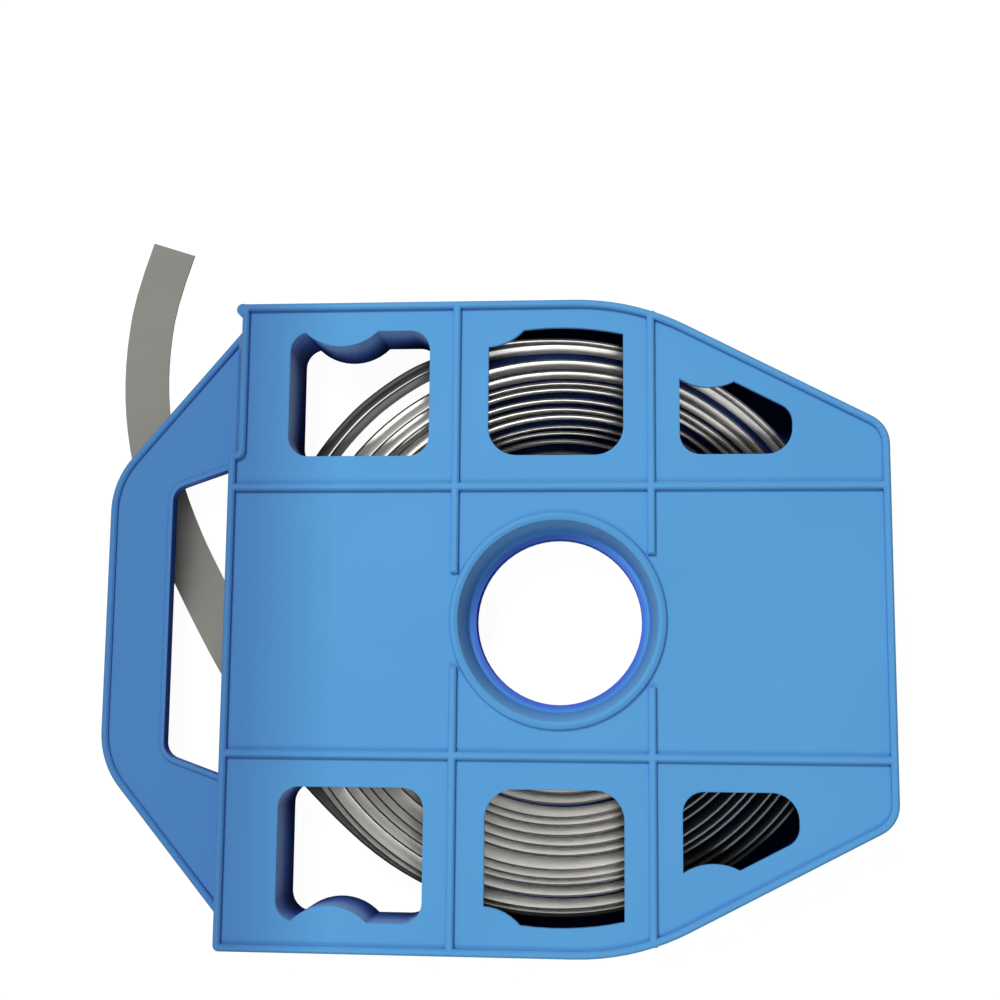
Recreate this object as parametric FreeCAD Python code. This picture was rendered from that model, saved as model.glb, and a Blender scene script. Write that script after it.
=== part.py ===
# Steel strapping band in a moulded tote dispenser, lying flat on its back.
# Millimetres. Origin on the hub axis, at the plane where the two halves meet. +Z is up, towards the front face.
# Both halves have the two large windows next to the handle. Only the front half has the other four.
import FreeCAD, Part
import math
import os

V = FreeCAD.Vector

# The band and its coil, which the case is sized for
band_width = 20.0
band_thickness = 0.76
coil_outer_radius = 119.0
coil_bore_radius = 47.5
coil_clearance = 0.3
groove_count = 2
groove_width = 3.4
groove_depth = 1.5

# Walls of the two moulded halves, which meet at the mid-plane
plate_thickness = 2.0
rib_height = 2.5
rib_width = 3.2
rim_width = 3.0
wall_thickness = 2.2
edge_bevel = 0.8
side_room = 4.5

# Room round the coil, from its outer turn to the side wall's outer face
room_above = 15.3
room_right = 16.3
room_left = 20.1
case_half_height = coil_outer_radius + room_above
case_right = coil_outer_radius + room_right
case_left = -(coil_outer_radius + room_left)
half_depth = band_width / 2 + side_room + plate_thickness + rib_height
plate_top = half_depth - rib_height
plate_bottom = plate_top - plate_thickness

# The outline: a slanted side runs from a long bend in the top edge to the right side
bend_share = 0.2323
slant_drop = 54.1
top_bend_x = case_half_height * bend_share
slant_end_y = case_half_height - slant_drop
top_bend_radius = 100.0
slant_corner_radius = 13.0
left_corner_radius = 2.5
slant_slope = slant_drop / (case_right - top_bend_x)

# The upper left side, where the rim steps in above a sloping ledge
inset_depth = 4.0
inset_left = case_left + inset_depth
inset_length = 64.3
inset_step_y = case_half_height - inset_length
ledge_height = 8.0
notch_top_gap = 3.3
notch_length = 10.0
notch_high_y = case_half_height - notch_top_gap
notch_low_y = notch_high_y - notch_length
corner_bead_radius = 2.6

# Ribs on the face
cross_rib_y = 55.2
upright_rib_left_x = -42.8
upright_rib_right_x = 38.4
rib_end_gap = 2.0

# The hub
hub_bore_radius = 34.6
bore_half_length = 4.5
bore_step = 3.1
hub_wall = 4.3
lip_overhang = 0.7
lip_round = 2.2
lip_facets = 4
bore_step_radius = hub_bore_radius + bore_step
hub_tube_radius = bore_step_radius + hub_wall
lip_crest_radius = hub_tube_radius + lip_overhang

# Windows: the upper three, which are mirrored below
window_low_y = 68.5
window_corner = 8.5
window_margin = 12.1
middle_window_low_corner = 12.0
left_window = (case_left + 24.9, -54.4)
left_window_top_y = case_half_height - window_margin
middle_window = (-29.4, 27.0)
middle_window_gap = 3.8
middle_window_top_radius = coil_outer_radius + middle_window_gap
right_window = (50.3, case_right - 38.9)
right_window_end_corner = 8.0
right_window_low_corner = 11.0
tunnel_thickness = 2.0
tunnel_gap = 5.0

# The lobes of the plate that dip into the windows, each as x and its lift over the side wall
lobe_radius = 22.5
left_lobe = (-92.5, 3.9)
middle_lobe = (-31.1, 2.9)
right_lobe = (62.7, 1.2)

# Snap tabs on the upper side of each half and pockets for them on its lower side
tab_width = 5.0
tab_length = 5.0
tab_fit = 0.3
block_width = 10.0
block_inset = 7.0

# The carrying handle
handle_reach = 55.6
handle_left = case_left - handle_reach
handle_corner_y = 60.4
handle_corner_radius = 36.0
handle_root_gap = 8.2
handle_root_y = case_half_height - handle_root_gap
handle_overrun = 12.0
handle_web = 1.6
handle_rim_height = 3.2
grip_reach = 28.0
grip_rim_width = 2.4
grip_left = case_left - grip_reach
grip_corner_y = 56.5
grip_root_y = 66.3
grip_corner_radius = 7.0

# The slot in the left wall, which the band leaves by
slot_half_length = 42.0
slot_half_height = 3.6

# The tail: the last turn stands off the coil, then runs straight to the slot, twisting flat
tail_start_angle = 292.0
tail_leave_angle = 211.8
tail_stand_off = 5.4
tail_past_wall = 2.0
tail_low = 0.6
twist_start = -20.0
twist_length = 90.0
section_spacing = 8.0


def rounded_wire(corners):
    """A closed wire through corners given as x, y and corner radius."""
    count = len(corners)
    arcs = []
    for i in range(count):
        x, y, radius = corners[i]
        here = V(x, y, 0)
        before = V(corners[i - 1][0], corners[i - 1][1], 0)
        after = V(corners[(i + 1) % count][0], corners[(i + 1) % count][1], 0)
        back = (before - here).normalize()
        ahead = (after - here).normalize()
        half_angle = back.getAngle(ahead) / 2
        reach = radius / math.tan(half_angle)
        middle = (back + ahead).normalize() * (radius / math.sin(half_angle) - radius)
        arcs.append((here + back * reach, here + middle, here + ahead * reach))
    edges = []
    for i in range(count):
        start, middle, end = arcs[i]
        edges.append(Part.Arc(start, middle, end).toShape())
        following = arcs[(i + 1) % count][0]
        if (following - end).Length > 1e-6:
            edges.append(Part.LineSegment(end, following).toShape())
    return Part.Wire(edges)


def prism(wire, low, high):
    """A solid that fills the wire between two heights."""
    face = Part.Face(wire)
    face.translate(V(0, 0, low))
    return face.extrude(V(0, 0, high - low))


def box(x0, x1, y0, y1, z0, z1):
    return Part.makeBox(x1 - x0, y1 - y0, z1 - z0, V(x0, y0, z0))


def pillar(x, y, width, low, high):
    """A square upright bar."""
    half = width / 2
    return box(x - half, x + half, y - half, y + half, low, high)


def post(x, y, radius, low, high):
    return Part.makeCylinder(radius, high - low, V(x, y, low), V(0, 0, 1))


def mirrored(shape):
    """The same shape below the centre line."""
    return shape.mirror(V(0, 0, 0), V(0, 1, 0))


def fuse_all(shapes):
    return shapes[0].multiFuse(shapes[1:]).removeSplitter()


def slant_y(x):
    """Height of the slanted side's outer line at x."""
    return case_half_height - (x - top_bend_x) * slant_slope


def right_side_corners():
    """The corners from the lower bend round to the upper one, shared by every outline."""
    return [
        (top_bend_x, -case_half_height, top_bend_radius),
        (case_right, -slant_end_y, slant_corner_radius),
        (case_right, slant_end_y, slant_corner_radius),
        (top_bend_x, case_half_height, top_bend_radius),
    ]


def base_outline():
    corners = [(case_left, -case_half_height, left_corner_radius)]
    corners += right_side_corners()
    corners.append((case_left, case_half_height, left_corner_radius))
    return rounded_wire(corners)


def face_outline():
    """The outline of the rim, which steps in at the upper left."""
    corners = [(case_left, -case_half_height, left_corner_radius)]
    corners += right_side_corners()
    corners.append((inset_left, case_half_height, 1.0))
    corners.append((inset_left, inset_step_y, 1.0))
    corners.append((case_left, inset_step_y, 1.0))
    return rounded_wire(corners)


def ring(outline, width, low, high):
    """A wall of the given width just inside an outline."""
    return prism(outline, low, high).cut(prism(outline.makeOffset2D(-width), low, high))


def bevelled(solid, high):
    """The solid with all its top edges bevelled."""
    top_edges = [e for e in solid.Edges if e.BoundBox.ZMin > high - 0.01]
    return solid.makeChamfer(edge_bevel, top_edges)


def shell():
    """Plate, side wall, rim, ledge, notch and corner bead."""
    plate = prism(face_outline(), plate_bottom, plate_top)
    plate = plate.cut(post(0, 0, lip_crest_radius, plate_bottom - 1, half_depth))
    wall_low = ring(base_outline(), wall_thickness, 0, ledge_height)
    wall_high = ring(face_outline(), wall_thickness, ledge_height, plate_top)
    rim = bevelled(ring(face_outline(), rim_width, plate_top - 0.5, half_depth), half_depth)
    slope = Part.makePolygon([
        V(case_left, 0, ledge_height), V(inset_left + wall_thickness, 0, ledge_height),
        V(inset_left + wall_thickness, 0, plate_bottom), V(inset_left, 0, plate_top),
        V(case_left, 0, ledge_height)])
    ledge = Part.Face(slope).extrude(V(0, notch_low_y - inset_step_y + rim_width, 0))
    ledge.translate(V(0, inset_step_y - rim_width, 0))
    floor = box(case_left, inset_left + wall_thickness, inset_step_y - rim_width, notch_high_y, ledge_height - 1.5,
                ledge_height)
    body = fuse_all([plate, wall_low, wall_high, rim, ledge, floor])
    notch = box(case_left - 1, inset_left, notch_low_y, notch_high_y + 5, 0, half_depth)
    body = body.cut(notch)
    notch_wall = box(inset_left, inset_left + wall_thickness, notch_low_y - wall_thickness,
                     case_half_height - 1, 0, plate_top)
    notch_end = box(case_left, inset_left + 1, notch_low_y - wall_thickness, notch_low_y, 0, ledge_height)
    bead = post(inset_left + 0.2, case_half_height - corner_bead_radius, corner_bead_radius, 0, half_depth)
    return fuse_all([body, notch_wall, notch_end, bead])


def rib(x0, x1, y0, y1):
    """A straight rib on the plate with its top edges bevelled."""
    return bevelled(box(x0, x1, y0, y1, plate_top - 0.5, half_depth), half_depth)


def ribs():
    half = rib_width / 2
    left = case_left + rim_width / 2
    right = case_right - rim_width / 2
    top = case_half_height - rim_width / 2
    made = []
    for y in (cross_rib_y, -cross_rib_y):
        made.append(rib(left, right, y - half, y + half))
    for x in (upright_rib_left_x, upright_rib_right_x):
        reach = lip_crest_radius + lip_round + rib_end_gap
        inner = math.sqrt(reach ** 2 - x ** 2)
        outer = min(top, slant_y(x) - rim_width / 2)
        made.append(rib(x - half, x + half, inner, outer))
        made.append(rib(x - half, x + half, -outer, -inner))
    return made


def hub():
    """The hub tube with its rolled lip and the step down to the bore."""
    profile = [
        V(hub_bore_radius, 0, 0), V(hub_bore_radius, 0, bore_half_length), V(bore_step_radius, 0, bore_half_length)]
    for i in range(lip_facets + 1):
        turn = math.pi * (1 - i / lip_facets)
        profile.append(V(lip_crest_radius + lip_round * math.cos(turn), 0,
                         plate_top + rib_height * math.sin(turn)))
    profile += [
        V(lip_crest_radius + lip_round, 0, plate_bottom), V(hub_tube_radius, 0, plate_bottom),
        V(hub_tube_radius, 0, 0)]
    return Part.Face(Part.makePolygon(profile + profile[:1])).revolve(V(0, 0, 0), V(0, 0, 1), 360)


def lobe(place, radius, low, high):
    """The round lobe of the plate that dips into a window, centred near the side wall."""
    x, lift = place
    return post(x, min(case_half_height, slant_y(x)) + lift, radius, low, high)


def left_window_block(grow, low, high):
    x0, x1 = left_window
    corners = [
        (x0 - grow, window_low_y - grow, window_corner + grow),
        (x1 + grow, window_low_y - grow, window_corner + grow),
        (x1 + grow, left_window_top_y + grow, window_corner + grow),
        (x0 - grow, left_window_top_y + grow, window_corner + grow)]
    return prism(rounded_wire(corners), low, high)


def left_window_shape(low, high):
    return left_window_block(0, low, high).cut(lobe(left_lobe, lobe_radius, low, high))


def middle_window_shape(low, high):
    x0, x1 = middle_window
    corners = [
        (x0, window_low_y, middle_window_low_corner), (x1, window_low_y, middle_window_low_corner),
        (x1, case_half_height, 2), (x0, case_half_height, 2)]
    block = prism(rounded_wire(corners), low, high)
    return block.common(post(0, 0, middle_window_top_radius, low, high)).cut(
        lobe(middle_lobe, lobe_radius, low, high))


def right_window_shape(low, high):
    x0, x1 = right_window
    drop = window_margin * math.sqrt(1 + slant_slope ** 2)
    corners = [
        (x0, window_low_y, window_corner), (x1, window_low_y, right_window_low_corner),
        (x1, slant_y(x1) - drop, right_window_end_corner), (x0, slant_y(x0) - drop, 1)]
    return prism(rounded_wire(corners), low, high).cut(lobe(right_lobe, lobe_radius, low, high))


def windows(shapes):
    """The openings of the given shapes, above and below the centre line."""
    made = [shape(plate_bottom - 1, half_depth + 1) for shape in shapes]
    return Part.makeCompound(made + [mirrored(opening) for opening in made])


def tunnel():
    """The wall round the left window, where no turn of the band passes under it."""
    wall = left_window_block(tunnel_thickness, 0, plate_top).cut(left_window_shape(-1, half_depth))
    wall = wall.cut(lobe(left_lobe, lobe_radius - tunnel_thickness, -1, half_depth))
    widest_turn = coil_outer_radius + tail_stand_off + band_thickness
    return wall.cut(post(0, 0, widest_turn + tunnel_gap, -1, half_depth))


def handle():
    """The handle's web with a raised rim round its outer edge and its grip opening."""
    root = case_left + handle_overrun
    slope = (handle_root_y - handle_corner_y) / (case_left - handle_left)
    root_y = handle_root_y + slope * handle_overrun
    outline = rounded_wire([
        (handle_left, -handle_corner_y, handle_corner_radius), (root, -root_y, rim_width + 1),
        (root, root_y, rim_width + 1), (handle_left, handle_corner_y, handle_corner_radius)])
    grip = rounded_wire([
        (grip_left, -grip_corner_y, grip_corner_radius), (case_left, -grip_root_y, 2),
        (case_left, grip_root_y, 2), (grip_left, grip_corner_y, grip_corner_radius)])
    web = prism(outline, 0, handle_web)
    outer_rim = bevelled(ring(outline, rim_width, 0, handle_rim_height), handle_rim_height)
    grip_rim = bevelled(prism(grip.makeOffset2D(grip_rim_width), 0, handle_rim_height), handle_rim_height)
    opening = prism(grip, -1, half_depth)
    inside = box(case_left + wall_thickness / 2, 0, -200, 200, -1, half_depth)
    return fuse_all([web, outer_rim, grip_rim]).cut(inside).cut(opening)


def case_half(window_shapes):
    """One moulded half, with its mid-plane face at height 0."""
    body = fuse_all([shell(), hub(), handle(), tunnel(), mirrored(tunnel())] + ribs())
    body = body.cut(windows(window_shapes))
    for x in (left_lobe[0], middle_lobe[0], right_lobe[0]):
        y = min(case_half_height, slant_y(x)) - block_inset
        block = pillar(x, y, block_width, 0, plate_bottom + 0.5)
        tab = pillar(x, y, tab_width, -tab_length, 0.5)
        body = fuse_all([body, block, tab, mirrored(block)])
        body = body.cut(pillar(x, -y, tab_width + 2 * tab_fit, -1, tab_length + 1))
    return body.cut(box(case_left - 3, case_left + wall_thickness + 1, -slot_half_length, slot_half_length,
                        -1, slot_half_height))


def turned_over(half):
    """A half turned over about the X axis, to face down."""
    placed = half.copy()
    placed.rotate(V(0, 0, 0), V(1, 0, 0), 180)
    return placed


coil_low = coil_clearance - plate_bottom
coil_high = coil_low + band_width
coil_middle = (coil_low + coil_high) / 2


def band_coil():
    """The coil as one turned solid, with grooves between groups of turns on both ends."""
    pitch = (coil_outer_radius - coil_bore_radius) / (groove_count + 1)
    below = [V(coil_bore_radius, 0, coil_low)]
    above = [V(coil_bore_radius, 0, coil_high)]
    for i in range(groove_count):
        middle = coil_bore_radius + pitch * (i + 1)
        for reach, depth in ((-groove_width / 2, 0), (0, groove_depth), (groove_width / 2, 0)):
            below.append(V(middle + reach, 0, coil_low + depth))
            above.append(V(middle + reach, 0, coil_high - depth))
    below.append(V(coil_outer_radius, 0, coil_low))
    above.append(V(coil_outer_radius, 0, coil_high))
    profile = below + above[::-1]
    return Part.Face(Part.makePolygon(profile + profile[:1])).revolve(V(0, 0, 0), V(0, 0, 1), 360)


def loose_turn():
    """Points along the last turn, which leaves the coil's face gently."""
    inner = coil_outer_radius + coil_clearance + band_thickness / 2
    outer = coil_outer_radius + tail_stand_off
    steps = 12
    points = []
    for i in range(steps + 1):
        share = i / steps
        angle = math.radians(tail_start_angle + (tail_leave_angle - tail_start_angle) * share)
        radius = inner + (outer - inner) * share * share * (3 - 2 * share)
        points.append(V(radius * math.cos(angle), radius * math.sin(angle), coil_middle))
    return points


def run_to_slot(start):
    """Points along the straight run to the slot, which also climbs to the mid-plane."""
    leave = math.radians(tail_leave_angle)
    ahead = V(math.sin(leave), -math.cos(leave), 0)
    length = (case_left - start.x) / ahead.x + tail_past_wall
    steps = 4
    points = []
    for i in range(1, steps + 1):
        share = i / steps
        point = start + ahead * (length * share)
        point.z = coil_middle * (1 - share)
        points.append(point)
    return points


# The free end, as steps in x and y from the end of that run and heights above the base
free_route = ((-9.4, 15.2, 16.2), (-18.0, 29.4, 12.6), (-26.3, 43.6, 9.4), (-37.0, 66.9, 6.0),
              (-44.1, 90.7, 3.8), (-47.4, 113.4, 2.4), (-47.4, 136.1, 1.4), (-44.4, 158.8, 0.9),
              (-37.4, 180.5, tail_low))


def strip_section(centre, along, distance):
    """The strip's outline across its path, turned from on edge to flat after a distance."""
    turned = min(1.0, max(0.0, (distance - twist_start) / twist_length))
    twist = math.radians(90.0) * turned * turned * (3 - 2 * turned)
    flat = V(0, 0, 1).cross(along).normalize()
    up = along.cross(flat).normalize()
    wide = (up * math.cos(twist) + flat * math.sin(twist)) * (band_width / 2)
    thin = (flat * math.cos(twist) - up * math.sin(twist)) * (band_thickness / 2)
    corners = [centre + wide + thin, centre + wide - thin, centre - wide - thin, centre - wide + thin]
    return Part.makePolygon(corners + corners[:1])


def band_tail():
    """The last turn, the run to the slot and the free end, as one strip through even sections."""
    points = loose_turn()
    leaving = points[-1]
    points += run_to_slot(leaving)
    end = points[-1]
    points += [V(end.x + x, end.y + y, height - half_depth) for x, y, height in free_route]
    spine = Part.BSplineCurve()
    spine.interpolate(points)
    first = spine.FirstParameter
    length = spine.length()
    before = spine.length(first, spine.parameter(leaving))
    count = round(length / section_spacing)
    sections = []
    for i in range(count + 1):
        distance = length * i / count
        u = spine.parameterAtDistance(distance, first)
        sections.append(strip_section(spine.value(u), spine.tangent(u)[0], distance - before))
    return Part.makeLoft(sections, True, False)


os.makedirs("parts", exist_ok=True)
nodes = {
    "front_half": case_half((left_window_shape, middle_window_shape, right_window_shape)),
    "back_half": turned_over(case_half((left_window_shape,))),
    "band_coil": band_coil(),
    "band_tail": band_tail(),
}
for name, shape in nodes.items():
    shape.exportStep("parts/" + name + ".step")
    solids = len(shape.Solids)
    print(name, "solids", solids, "valid", shape.isValid(), "volume", round(shape.Volume / 1000, 1), "cm3",
          "box", [round(v, 1) for v in (shape.BoundBox.XMin, shape.BoundBox.XMax, shape.BoundBox.YMin,
                                        shape.BoundBox.YMax, shape.BoundBox.ZMin, shape.BoundBox.ZMax)])
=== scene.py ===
import math

import bpy
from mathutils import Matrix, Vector


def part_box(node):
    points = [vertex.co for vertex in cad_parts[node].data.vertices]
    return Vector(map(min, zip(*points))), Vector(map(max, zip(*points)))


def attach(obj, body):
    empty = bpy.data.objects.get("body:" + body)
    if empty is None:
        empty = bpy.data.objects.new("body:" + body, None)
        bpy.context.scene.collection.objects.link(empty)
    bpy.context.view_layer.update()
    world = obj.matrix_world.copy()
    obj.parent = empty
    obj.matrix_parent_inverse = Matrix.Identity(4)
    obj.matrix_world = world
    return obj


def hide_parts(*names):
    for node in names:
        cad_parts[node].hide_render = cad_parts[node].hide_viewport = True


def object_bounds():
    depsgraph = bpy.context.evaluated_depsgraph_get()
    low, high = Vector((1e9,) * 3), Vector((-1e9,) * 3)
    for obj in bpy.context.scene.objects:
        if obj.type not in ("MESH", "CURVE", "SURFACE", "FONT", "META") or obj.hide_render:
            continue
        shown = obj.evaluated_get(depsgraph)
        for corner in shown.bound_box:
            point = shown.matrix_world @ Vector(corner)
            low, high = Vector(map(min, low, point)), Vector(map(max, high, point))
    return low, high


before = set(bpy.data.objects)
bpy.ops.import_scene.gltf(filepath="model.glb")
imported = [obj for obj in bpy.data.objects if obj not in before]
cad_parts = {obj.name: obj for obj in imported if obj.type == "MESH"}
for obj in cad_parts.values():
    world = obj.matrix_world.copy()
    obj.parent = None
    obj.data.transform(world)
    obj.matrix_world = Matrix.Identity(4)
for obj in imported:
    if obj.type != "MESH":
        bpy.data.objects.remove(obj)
cad_low, cad_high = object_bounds()
bpy.ops.object.select_all(action="DESELECT")


# The two case halves
# Two polyethylene mouldings, snapped together round the coil. Fresh from a satin steel mould they
# have a soft sheen, rounded edges, a faint fine grain and slightly uneven colour. Painted shade
# darkens their recesses, the hub's bore and the handle.
def linear(code):
    """A sRGB hex colour as linear red, green, blue and alpha."""
    values = []
    for i in (1, 3, 5):
        share = int(code[i:i + 2], 16) / 255
        values.append(share / 12.92 if share <= 0.04045 else ((share + 0.055) / 1.055) ** 2.4)
    return (*values, 1.0)


def bare(owner):
    """Gives a material or the world an empty node tree, and returns it."""
    owner.use_nodes = True
    owner.node_tree.nodes.clear()
    return owner


def add_node(material, kind, settings, links):
    """Adds a node, sets its properties and sockets, and links its sockets to outputs."""
    made = material.node_tree.nodes.new(kind)
    for name, value in settings.items():
        if isinstance(name, int) or name in made.inputs:
            made.inputs[name].default_value = value
        else:
            setattr(made, name, value)
    for name, output in links.items():
        material.node_tree.links.new(output, made.inputs[name])
    return made


def beside_axis(material, place):
    """The point's place with no height, so that its length is its distance from the hub's axis."""
    return add_node(material, "ShaderNodeMapping", {"Scale": (1.0, 1.0, 0.0)},
                    {"Vector": place.outputs["Object"]})


moulded = bare(bpy.data.materials.new("moulded_polyethylene"))
place = add_node(moulded, "ShaderNodeTexCoord", {}, {})
# Streaks of pigment that the melt left, about 70 mm across
streaks = add_node(moulded, "ShaderNodeTexNoise", {"Scale": 14.0, "Detail": 2.0, "Roughness": 0.5},
                   {"Vector": place.outputs["Object"]})
blue = add_node(moulded, "ShaderNodeMix",
                {"data_type": "RGBA", 6: linear("#5093ca"), 7: linear("#5a9cd1")},
                {0: streaks.outputs["Fac"]})
# The grain of the mould's steel is near 0.3 mm, and is drawn at 0.8 mm so that it shows
grain = add_node(moulded, "ShaderNodeTexNoise", {"Scale": 1250.0, "Detail": 2.0, "Roughness": 0.6},
                 {"Vector": place.outputs["Object"]})
sheen = add_node(moulded, "ShaderNodeMapRange", {"To Min": 0.46, "To Max": 0.58},
                 {"Value": grain.outputs["Fac"]})
# Painted shade: the handle and the face beside it are painted a darker blue up to here
painted_shade_full_to = -0.13
painted_shade_gone_at = -0.092
along = add_node(moulded, "ShaderNodeSeparateXYZ", {}, {0: place.outputs["Object"]})
on_case = add_node(moulded, "ShaderNodeMapRange",
                   {"From Min": painted_shade_full_to, "From Max": painted_shade_gone_at},
                   {"Value": along.outputs["X"]})
blue_with_painted_shade = add_node(moulded, "ShaderNodeMix", {"data_type": "RGBA", 6: linear("#4679b0")},
                     {0: on_case.outputs[0], 7: blue.outputs[2]})
# Painted shade: inside the windows and other recesses ambient occlusion paints the blue deeper, and the
# shine is taken away there
recess = add_node(moulded, "ShaderNodeAmbientOcclusion", {"samples": 8, "Distance": 0.1}, {})
open_air = add_node(moulded, "ShaderNodeMapRange", {"From Min": 0.25, "From Max": 0.55},
                    {"Value": recess.outputs["AO"]})
# The wall of the hub's bore gets the same painted shade, found by its distance from the axis
hub_bore_wall = 0.0355
hub_rim = 0.0375
beside = beside_axis(moulded, place)
reach = add_node(moulded, "ShaderNodeVectorMath", {"operation": "LENGTH"}, {0: beside.outputs[0]})
past_bore = add_node(moulded, "ShaderNodeMapRange", {"From Min": hub_bore_wall, "From Max": hub_rim},
                     {"Value": reach.outputs["Value"]})
outside_painted_shade = add_node(moulded, "ShaderNodeMath", {"operation": "MINIMUM"},
                   {0: open_air.outputs[0], 1: past_bore.outputs[0]})
# The painted shade is darkest where the recess is deepest, as behind the coil
deepest_shade_share = add_node(moulded, "ShaderNodeMapRange", {"From Min": 0.1, "From Max": 0.28},
                     {"Value": recess.outputs["AO"]})
painted_recess_shade = add_node(moulded, "ShaderNodeMix",
                     {"data_type": "RGBA", 6: linear("#111b40"), 7: linear("#4b70d2")},
                     {0: deepest_shade_share.outputs[0]})
colour = add_node(moulded, "ShaderNodeMix", {"data_type": "RGBA"},
                  {0: outside_painted_shade.outputs[0], 6: painted_recess_shade.outputs[2], 7: blue_with_painted_shade.outputs[2]})
shine = add_node(moulded, "ShaderNodeMapRange", {"To Min": 0.0, "To Max": 0.2},
                 {"Value": outside_painted_shade.outputs[0]})
# Every edge of a moulding is a little round
edges = add_node(moulded, "ShaderNodeBevel", {"samples": 6, "Radius": 0.0007}, {})
relief = add_node(moulded, "ShaderNodeBump", {"Strength": 0.2, "Distance": 0.00003},
                  {"Height": grain.outputs["Fac"], "Normal": edges.outputs[0]})
plastic = add_node(moulded, "ShaderNodeBsdfPrincipled", {"IOR": 1.51},
                   {"Base Color": colour.outputs[2], "Roughness": sheen.outputs[0],
                    "Normal": relief.outputs[0], "Specular IOR Level": shine.outputs[0]})
add_node(moulded, "ShaderNodeOutputMaterial", {}, {"Surface": plastic.outputs[0]})

merge_distance = 0.00001
for name in ("front_half", "back_half"):
    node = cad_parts[name]
    bpy.ops.object.select_all(action="DESELECT")
    half = node.copy()
    half.data = node.data.copy()
    half.name = "moulded_" + name
    half.parent = None
    bpy.context.scene.collection.objects.link(half)
    half.select_set(True)
    bpy.context.view_layer.objects.active = half
    bpy.ops.mesh.customdata_custom_splitnormals_clear()
    bpy.ops.object.mode_set(mode="EDIT")
    bpy.ops.mesh.select_all(action="SELECT")
    bpy.ops.mesh.remove_doubles(threshold=merge_distance)
    bpy.ops.object.mode_set(mode="OBJECT")
    bpy.ops.object.shade_smooth_by_angle(angle=math.radians(30))
    half.data.materials.clear()
    half.data.materials.append(moulded)
    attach(half, "case")
    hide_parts(name)


# The coil
# Cold rolled stainless strip, 20 mm wide and 0.76 mm thick, wound loosely on edge round the hub, so
# its turns lie at uneven distances and lean. Its faces are satin grey with fine lines along the
# strip, and its slit edges are painted nearly black, as the shade in the gaps between the turns.
# Painted shade also darkens the outer turns at the upper left and all turns at the lower right.
band_width = 0.020
band_thickness = 0.00076
coil_low, coil_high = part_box("band_coil")
coil_middle = (coil_low.z + coil_high.z) / 2


def rolled_steel(name, dark, light, painted_dark_share, streaked, rough):
    """Cold rolled stainless strip between two colours, with its shares of painted shade and of streaks.
    """
    made = bare(bpy.data.materials.new(name))
    place = add_node(made, "ShaderNodeTexCoord", {}, {})
    # Rolling lines run along the strip, about 0.5 mm apart and 60 mm long
    stretch = add_node(made, "ShaderNodeMapping", {"Scale": (16.0, 2000.0, 1.0)},
                       {"Vector": place.outputs["UV"]})
    lines = add_node(made, "ShaderNodeTexNoise", {"Scale": 1.0, "Detail": 3.0, "Roughness": 0.6},
                     {"Vector": stretch.outputs[0]})
    # Cloudy patches about 22 mm across
    clouds = add_node(made, "ShaderNodeTexNoise", {"Scale": 45.0, "Detail": 2.0},
                      {"Vector": place.outputs["Object"]})
    clean = add_node(made, "ShaderNodeMix", {"data_type": "RGBA", 6: linear(dark), 7: linear(light)},
                     {0: clouds.outputs["Fac"]})
    # Painted shade: the outer turns at the upper left and all turns at the lower right are painted dark
    beside = beside_axis(made, place)
    reach = add_node(made, "ShaderNodeVectorMath", {"operation": "LENGTH"}, {0: beside.outputs[0]})
    outer_turns = add_node(made, "ShaderNodeMapRange", {"From Min": 0.1135, "From Max": 0.1155},
                           {"Value": reach.outputs["Value"]})
    heading = add_node(made, "ShaderNodeVectorMath", {"operation": "NORMALIZE"}, {0: beside.outputs[0]})
    painted_dark_patches = []
    for degrees, edge, full in ((132, 0.82, 0.93), (-46, 0.88, 0.97)):
        towards = (math.cos(math.radians(degrees)), math.sin(math.radians(degrees)), 0.0)
        match = add_node(made, "ShaderNodeVectorMath", {"operation": "DOT_PRODUCT", 1: towards},
                         {0: heading.outputs[0]})
        painted_dark_patches.append(add_node(made, "ShaderNodeMapRange", {"From Min": edge, "From Max": full},
                                {"Value": match.outputs["Value"]}))
    painted_dark_upper_left = add_node(made, "ShaderNodeMath", {"operation": "MULTIPLY"},
                          {0: painted_dark_patches[0].outputs[0], 1: outer_turns.outputs[0]})
    painted_dark_mask = add_node(made, "ShaderNodeMath", {"operation": "MAXIMUM"},
                     {0: painted_dark_upper_left.outputs[0], 1: painted_dark_patches[1].outputs[0]})
    painted_dark_amount = add_node(made, "ShaderNodeMath", {"operation": "MULTIPLY", 1: painted_dark_share},
                           {0: painted_dark_mask.outputs[0]})
    steel = add_node(made, "ShaderNodeMix", {"data_type": "RGBA", 7: linear("#1f2328")},
                     {0: painted_dark_amount.outputs[0], 6: clean.outputs[2]})
    satin = add_node(made, "ShaderNodeMapRange", {"To Min": rough, "To Max": rough + 0.16},
                     {"Value": lines.outputs["Fac"]})
    ridges = add_node(made, "ShaderNodeBump", {"Strength": 0.25, "Distance": 0.00003},
                      {"Height": lines.outputs["Fac"]})
    along = add_node(made, "ShaderNodeTangent", {"direction_type": "UV_MAP"}, {})
    metal = add_node(made, "ShaderNodeBsdfPrincipled",
                     {"Metallic": 1.0, "Anisotropic": streaked, "Anisotropic Rotation": 0.25},
                     {"Base Color": steel.outputs[2], "Roughness": satin.outputs[0],
                      "Normal": ridges.outputs[0], "Tangent": along.outputs[0]})
    add_node(made, "ShaderNodeOutputMaterial", {}, {"Surface": metal.outputs[0]})
    return made


bright_steel = rolled_steel("cold_rolled_stainless_strip", "#d2d1cd", "#dfdedb", 0.94, 0.75, 0.44)
# The slit edges' near black is painted shade, for the dark gaps between the turns
slit_edge_painted_dark = rolled_steel("slit_stainless_edge", "#232324", "#2e2e2f", 0.9, 0.75, 0.44)
# The free end's grey is painted darker than the coil's, for the darker surroundings it reflects
handled_steel_painted_darker = rolled_steel("handled_stainless_strip_painted_darker", "#92908a", "#9a9892", 0.0, 0.2, 0.5)


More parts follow.
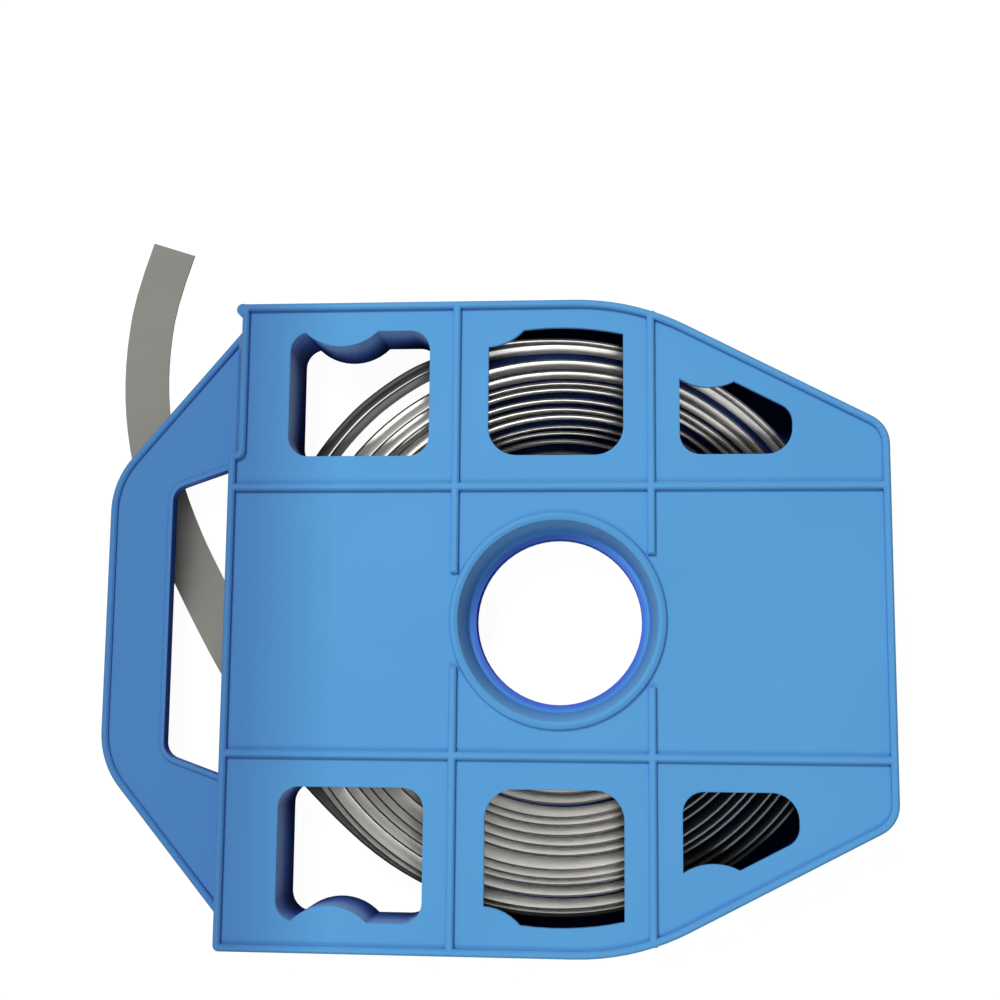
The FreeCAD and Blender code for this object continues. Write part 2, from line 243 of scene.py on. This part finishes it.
def strip(name, points, tilts, steel):
    """A strip of the band through points, turned about its length by a tilt at each point."""
    line = bpy.data.curves.new(name, "CURVE")
    line.dimensions = "3D"
    line.twist_mode = "Z_UP"
    line.extrude = band_width / 2
    line.resolution_u = 3
    spline = line.splines.new("NURBS")
    spline.points.add(len(points) - 1)
    for i, point in enumerate(points):
        spline.points[i].co = (*point, 1)
        spline.points[i].tilt = tilts[i]
    spline.order_u = 3
    spline.use_endpoint_u = True
    length = spline.calc_length()
    bpy.ops.object.select_all(action="DESELECT")
    made = bpy.data.objects.new(name, line)
    bpy.context.scene.collection.objects.link(made)
    made.select_set(True)
    bpy.context.view_layer.objects.active = made
    bpy.ops.object.convert(target="MESH")
    made = bpy.context.object
    # The UV map in metres: u along the strip and v across it
    for corner in made.data.uv_layers[0].data:
        corner.uv = (corner.uv.x * length, corner.uv.y * band_width)
    made.data.materials.append(steel)
    made.data.materials.append(slit_edge_painted_dark)
    thick = made.modifiers.new("thickness", "SOLIDIFY")
    thick.material_offset_rim = 1
    thick.thickness = band_thickness
    thick.offset = 0
    bpy.ops.object.modifier_apply(modifier="thickness")
    bpy.ops.object.shade_smooth_by_angle(angle=math.radians(40))
    return made


def drift(turn):
    """How far a turn wanders from its even place, in metres."""
    return (0.0008 * math.sin(5.9 * turn + 0.4) + 0.0006 * math.sin(2.3 * turn + 2.1)
            + 0.0004 * math.sin(11.3 * turn + 5.0))


def lean(angle, turn):
    """The angle a turn leans outwards at its upper edge. The outermost turn stands nearly straight."""
    share = min(1.0, 0.2 + (turns - turn) / 3)
    return math.radians(-7.0 * math.sin(angle) + 1.2 * math.sin(7.7 * turn + 1.0)) * share


# The coil ends at this angle, hidden by the plate between two windows
coil_end = 292
inner_radius = 0.0487
outer_radius = 0.1142
tight_turns = 5
tight_pitch = 0.0036
tight_radius = inner_radius + tight_turns * tight_pitch
loose_turns = 12
turns = tight_turns + loose_turns
least_gap = 1.5 * band_thickness
points_per_turn = 40
count = turns * points_per_turn
# From the outside in, so that each turn stays clear of the one round it
radii = [0.0] * (count + 1)
for i in range(count, -1, -1):
    turn = i / points_per_turn
    if turn < tight_turns:
        radius = inner_radius + tight_pitch * turn
    else:
        share = (turn - tight_turns) / loose_turns
        radius = tight_radius + (outer_radius - tight_radius) * share
    radius = min(radius + drift(turn) * min(1.0, 0.4 + turn / tight_turns), outer_radius)
    if i + points_per_turn <= count:
        radius = min(radius, radii[i + points_per_turn] - least_gap)
    radii[i] = max(radius, inner_radius)
points = []
leans = []
for i in range(count + 1):
    turn = i / points_per_turn
    angle = math.radians(coil_end) + (turns - turn) * 2 * math.pi
    points.append((radii[i] * math.cos(angle), radii[i] * math.sin(angle), coil_middle))
    leans.append(-lean(angle, turn))
coil = strip("coiled_band", points, leans, bright_steel)
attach(coil, "coil")
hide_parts("band_coil")


# The loose outer turns
# The last two turns of the same strip before its free end. They have sprung away from the coil, and
# bulge to the left, where the case has room. They ride on the case, because the free end is held there.
# Each row is an angle, a radius and how far the upper edge leans outwards, in degrees.
turn_places = (
    (coil_end, 0.1158, 3), (265, 0.1163, 4), (240, 0.1169, 4), (215, 0.1177, 3), (190, 0.1190, 1),
    (165, 0.1204, -3), (148, 0.1215, -5), (132, 0.1219, -5), (120, 0.1216, -5), (108, 0.1204, -4),
    (96, 0.1191, -3), (80, 0.1184, -3), (61, 0.1180, -3), (40, 0.1181, -2), (15, 0.1182, 0),
    (-15, 0.1184, 0), (-42, 0.1184, 1), (-68, 0.1180, 3), (-95, 0.1182, 4), (-120, 0.1190, 4),
    (-138, 0.1198, 3), (-155, 0.1212, 2), (-172, 0.1230, 0), (-190, 0.1247, -2), (-210, 0.1262, -4),
    (-226, 0.1268, -5), (-240, 0.1262, -5), (-249, 0.1244, -4), (-257, 0.1223, -3), (-268, 0.1206, -1),
    (-282, 0.1198, 0), (-299, 0.1194, 0), (-315, 0.1202, 0), (-340, 0.1209, 0), (-370, 0.1214, 0),
    (-390, 0.1216, 0), (-405, 0.1211, 0), (-417, 0.1202, 0), (coil_end - 720, 0.1198, 0))
points = []
leans = []
steps_a_row = 4
for row, next_row in zip(turn_places, turn_places[1:]):
    for i in range(steps_a_row):
        share = i / steps_a_row
        degrees, radius, out = (here + (there - here) * share for here, there in zip(row, next_row))
        angle = math.radians(degrees)
        points.append((radius * math.cos(angle), radius * math.sin(angle), coil_middle))
        leans.append(-math.radians(out))
loose = strip("loose_turns", points, leans, bright_steel)
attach(loose, "case")


# The free end of the band
# The same strip, which leaves its coil on edge, turns flat on its way to the slot in the case's
# left wall, passes under the handle and lies down on the table. Handling has dulled its faces, and
# their grey is painted darker than the coil's, as a painted darker reflection.
start_radius = 0.1196
leave_angle = 211.8
leave_radius = 0.1244
swing_power = 2.4
case_left = -0.1391
past_wall = 0.002
# The twist starts this far before the strip leaves its circle, and ends flat
twist_start = -0.020
twist_length = 0.090
# From the slot on: steps in x and y from the slot, and heights above the table
free_route = (
    (-0.0094, 0.0152, 0.0162), (-0.0180, 0.0294, 0.0126), (-0.0263, 0.0436, 0.0094),
    (-0.0370, 0.0669, 0.0060), (-0.0441, 0.0907, 0.0038), (-0.0474, 0.1134, 0.0024),
    (-0.0474, 0.1361, 0.0014), (-0.0444, 0.1588, 0.0009), (-0.0374, 0.1805, 0.0006))
points = []
steps = 8
for i in range(steps + 1):
    share = i / steps
    angle = math.radians(coil_end + (leave_angle - coil_end) * share)
    radius = start_radius + (leave_radius - start_radius) * share ** swing_power
    points.append(Vector((radius * math.cos(angle), radius * math.sin(angle), coil_middle)))
leaving = len(points) - 1
ahead = Vector((math.sin(math.radians(leave_angle)), -math.cos(math.radians(leave_angle)), 0))
run = (case_left - points[-1].x) / ahead.x + past_wall
for share in (0.25, 0.5, 0.75, 1.0):
    point = points[leaving] + ahead * run * share
    point.z = coil_middle * (1 - share)
    points.append(point)
slot = points[-1]
for x, y, height in free_route:
    points.append(Vector((slot.x + x, slot.y + y, height - cad_high.z)))
tilts = []
for i, point in enumerate(points):
    gone = (point - points[leaving]).length * (1 if i > leaving else -1)
    share = min(1.0, max(0.0, (gone - twist_start) / twist_length))
    tilts.append(-math.radians(90) * share * share * (3 - 2 * share))
tail = strip("free_end", points, tilts, handled_steel_painted_darker)
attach(tail, "case")
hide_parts("band_tail")


# The table and backdrop
# A plain white sheet of paper in a white room. Both show white to the camera and in the steel, and
# the sheet takes a faint shadow.
under_case = 0.0002
bpy.ops.mesh.primitive_plane_add(size=8, location=(0, 0, cad_low.z - under_case))
table = bpy.context.object
table.name = "table"
paper = bare(bpy.data.materials.new("white_paper"))
rays = add_node(paper, "ShaderNodeLightPath", {}, {})
seen = add_node(paper, "ShaderNodeMath", {"operation": "MAXIMUM"},
                {0: rays.outputs["Is Camera Ray"], 1: rays.outputs["Is Glossy Ray"]})
shown = add_node(paper, "ShaderNodeMath", {"operation": "MAXIMUM"},
                 {0: seen.outputs[0], 1: rays.outputs["Is Transmission Ray"]})
# Its own bounce on the tote is kept low, so that the walls inside the windows stay deep blue
tone = add_node(paper, "ShaderNodeMapRange", {"To Min": 0.15, "To Max": 0.9},
                {"Value": shown.outputs[0]})
matt = add_node(paper, "ShaderNodeBsdfDiffuse", {}, {"Color": tone.outputs[0]})
glow = add_node(paper, "ShaderNodeEmission", {"Color": (1, 1, 1, 1), "Strength": 1.07}, {})
part = add_node(paper, "ShaderNodeMath", {"operation": "MULTIPLY", 1: 0.9}, {0: shown.outputs[0]})
sheet = add_node(paper, "ShaderNodeMixShader", {},
                 {0: part.outputs[0], 1: matt.outputs[0], 2: glow.outputs[0]})
add_node(paper, "ShaderNodeOutputMaterial", {}, {"Surface": sheet.outputs[0]})
table.data.materials.append(paper)

world = bare(bpy.data.worlds.new("studio"))
bpy.context.scene.world = world
rays = add_node(world, "ShaderNodeLightPath", {}, {})
seen = add_node(world, "ShaderNodeMath", {"operation": "MAXIMUM"},
                {0: rays.outputs["Is Camera Ray"], 1: rays.outputs["Is Glossy Ray"]})
level = add_node(world, "ShaderNodeMapRange", {"To Min": 0.24, "To Max": 1.0},
                 {"Value": seen.outputs[0]})
back = add_node(world, "ShaderNodeBackground", {"Color": (1, 1, 1, 1)}, {"Strength": level.outputs[0]})
add_node(world, "ShaderNodeOutputWorld", {}, {"Surface": back.outputs[0]})


# The lamps
# A soft key lamp from the upper left and a weak fill from below light the plastic. Two more, above
# and below, give the wound strip its shine, and the other pieces don't receive them.
lamp_size = 0.5
wound_band = bpy.data.collections.new("wound_band")
wound_band.objects.link(coil)
wound_band.objects.link(loose)


def lamp(name, place, power, on_steel):
    """A square soft lamp that faces the tote, for its plastic or else for the wound strip's shine."""
    light = bpy.data.lights.new(name, "AREA")
    light.size = lamp_size
    light.energy = power
    made = bpy.data.objects.new(name, light)
    made.location = place
    made.rotation_euler = (-Vector(place)).to_track_quat("-Z", "Y").to_euler()
    made.visible_glossy = on_steel
    made.visible_diffuse = not on_steel
    if on_steel:
        made.light_linking.receiver_collection = wound_band
    bpy.context.scene.collection.objects.link(made)


lamp("key_lamp", (-0.45, 0.85, 1.6), 26.0, False)
lamp("fill_lamp", (-0.15, -0.9, 1.0), 5.0, False)
lamp("lower_sheen", (0.42, -0.85, 1.3), 85.0, True)
lamp("upper_sheen", (-0.1, 0.9, 1.3), 6.0, True)


# The camera
# Above the lower right of the hub, and turned a little, as in the photo.
camera_data = bpy.data.cameras.new("camera")
camera_data.lens = 53.223
camera_data.sensor_width = 36.0
camera_data.clip_start = 0.01
camera = bpy.data.objects.new("camera", camera_data)
camera.location = (0.026876, -0.033220, 0.622864)
camera.rotation_euler = (0.13604, 0.08273, 0.00859)
bpy.context.scene.collection.objects.link(camera)
bpy.context.scene.camera = camera
bpy.context.scene.view_settings.view_transform = "Standard"
